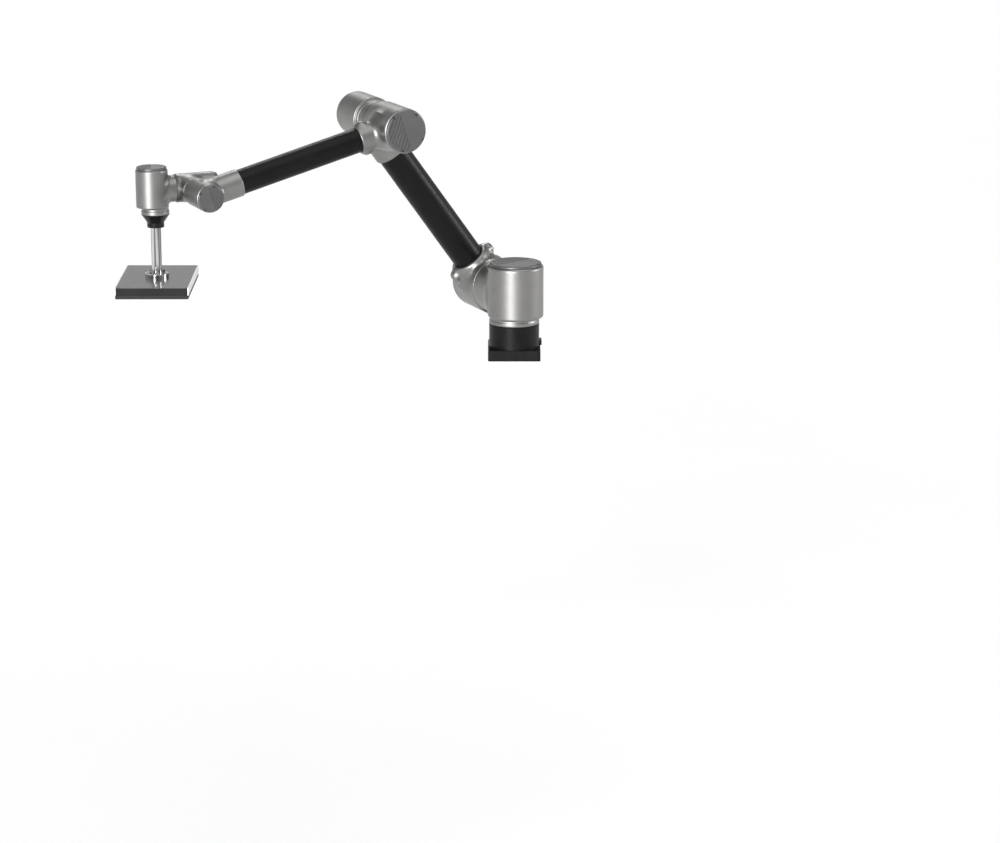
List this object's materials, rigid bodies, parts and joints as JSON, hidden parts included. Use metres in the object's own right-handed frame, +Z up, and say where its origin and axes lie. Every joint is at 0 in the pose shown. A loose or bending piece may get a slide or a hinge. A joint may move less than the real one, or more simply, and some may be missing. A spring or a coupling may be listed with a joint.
{
  "type": "collaborative robot arm",
  "caption": "Six-axis collaborative robot arm with round jointed castings, black tube links and a flat vacuum gripper on a polished rod.",
  "frame": {"origin": "centre of the base's mounting face, on the vertical axis of joint 1", "axes": "+Z up along joint 1; the arm reaches along -X; the joint covers face -Y"},
  "size_m": [1.572, 0.5048, 0.9248],
  "materials": {
    "casting": "satin silver paint on cast aluminium",
    "cover": "satin grey paint",
    "screws": "black-oxide steel",
    "tube": "black anodised, satin",
    "circuit_board": "solder mask",
    "windings": "laminated steel and copper",
    "gear_steel": "ground steel",
    "base": "black anodised, satin",
    "connector": "moulded",
    "adapter": "black anodised, semi-gloss",
    "rod": "polished",
    "lid": "grey anodised, semi-gloss",
    "chamber": "black anodised",
    "end_plates": "clear anodised",
    "foam": "closed-cell foam"
  },
  "bodies": {
    "base": {"base_casting": "base", "base_connector": "connector", "joint_1_output": "gear_steel"},
    "shoulder": {"shoulder_housing": "casting", "joint_1_cover": "cover", "joint_1_ring_gear": "gear_steel", "joint_1_stator": "windings", "joint_1_board": "circuit_board", "shoulder_cover_screws": "screws", "joint_2_output": "gear_steel"},
    "upper_arm": {"upper_arm_lower_housing": "casting", "joint_2_cover": "cover", "joint_2_ring_gear": "gear_steel", "joint_2_stator": "windings", "joint_2_board": "circuit_board", "upper_arm_cover_screws": "screws", "upper_arm_tube": "tube", "upper_arm_upper_housing": "casting", "joint_3_cover": "cover", "joint_3_ring_gear": "gear_steel", "joint_3_stator": "windings", "joint_3_board": "circuit_board"},
    "forearm": {"forearm_elbow_housing": "casting", "elbow_cover": "cover", "joint_3_output": "gear_steel", "forearm_tube": "tube", "forearm_wrist_housing": "casting", "joint_4_cover": "cover", "joint_4_ring_gear": "gear_steel", "joint_4_stator": "windings", "joint_4_board": "circuit_board", "forearm_cover_screws": "screws"},
    "wrist_1": {"wrist_1_housing": "casting", "joint_4_output": "gear_steel", "joint_5_cover": "cover", "joint_5_ring_gear": "gear_steel", "joint_5_stator": "windings", "joint_5_board": "circuit_board", "wrist_1_cover_screws": "screws"},
    "wrist_2": {"wrist_2_housing": "casting", "joint_5_output": "gear_steel", "joint_6_cover": "cover", "joint_6_ring_gear": "gear_steel", "joint_6_stator": "windings", "joint_6_board": "circuit_board", "wrist_2_cover_screws": "screws"},
    "gripper": {"joint_6_output": "gear_steel", "gripper_adapter": "adapter", "gripper_rod": "rod", "gripper_screws": "screws", "gripper_lid": "lid", "gripper_chamber": "chamber", "gripper_end_plates": "end_plates", "gripper_foam": "foam"},
    "rotor_1": {"joint_1_rotor": "gear_steel"},
    "rotor_2": {"joint_2_rotor": "gear_steel"},
    "rotor_3": {"joint_3_rotor": "gear_steel"},
    "rotor_4": {"joint_4_rotor": "gear_steel"},
    "rotor_5": {"joint_5_rotor": "gear_steel"},
    "rotor_6": {"joint_6_rotor": "gear_steel"}
  },
  "joints": [
    {"name": "joint_1", "type": "hinge", "parent": "base", "child": "shoulder", "pos_m": [0, 0, 0.1195], "axis": [0, 0, 1], "range_deg": [-175, 175]},
    {"name": "joint_1_motor", "type": "hinge", "parent": "shoulder", "child": "rotor_1", "pos_m": [0, 0, 0.1195], "axis": [0, 0, 1], "continuous": true},
    {"name": "joint_2", "type": "hinge", "parent": "shoulder", "child": "upper_arm", "pos_m": [0, 0.143, 0.224], "axis": [0, 1, 0], "range_deg": [-89, 161]},
    {"name": "joint_2_motor", "type": "hinge", "parent": "upper_arm", "child": "rotor_2", "pos_m": [0, 0.143, 0.224], "axis": [0, 1, 0], "continuous": true},
    {"name": "joint_3", "type": "hinge", "parent": "upper_arm", "child": "forearm", "pos_m": [-0.45318, 0.165, 0.84775], "axis": [0, 1, 0], "range_deg": [-61, 198]},
    {"name": "joint_3_motor", "type": "hinge", "parent": "upper_arm", "child": "rotor_3", "pos_m": [-0.45318, 0.165, 0.84775], "axis": [0, 1, 0], "continuous": true},
    {"name": "joint_4", "type": "hinge", "parent": "forearm", "child": "wrist_1", "pos_m": [-1.14543, 0.08, 0.66485], "axis": [0, 1, 0], "range_deg": [-80, 175]},
    {"name": "joint_4_motor", "type": "hinge", "parent": "forearm", "child": "rotor_4", "pos_m": [-1.14543, 0.08, 0.66485], "axis": [0, 1, 0], "continuous": true},
    {"name": "joint_5", "type": "hinge", "parent": "wrist_1", "child": "wrist_2", "pos_m": [-1.19493, 0.164, 0.66485], "axis": [1, 0, 0], "range_deg": [-175, 175]},
    {"name": "joint_5_motor", "type": "hinge", "parent": "wrist_1", "child": "rotor_5", "pos_m": [-1.19493, 0.164, 0.66485], "axis": [1, 0, 0], "continuous": true},
    {"name": "joint_6", "type": "hinge", "parent": "wrist_2", "child": "gripper", "pos_m": [-1.26243, 0.164, 0.58185], "axis": [0, 0, 1], "range_deg": [-175, 175]},
    {"name": "joint_6_motor", "type": "hinge", "parent": "wrist_2", "child": "rotor_6", "pos_m": [-1.26243, 0.164, 0.58185], "axis": [0, 0, 1], "continuous": true}
  ],
  "couplings": [
    {"joint": "joint_1_motor", "follows": "joint_1", "ratio": 100},
    {"joint": "joint_2_motor", "follows": "joint_2", "ratio": 100},
    {"joint": "joint_3_motor", "follows": "joint_3", "ratio": -100},
    {"joint": "joint_4_motor", "follows": "joint_4", "ratio": -100},
    {"joint": "joint_5_motor", "follows": "joint_5", "ratio": -100},
    {"joint": "joint_6_motor", "follows": "joint_6", "ratio": -100}
  ]
}
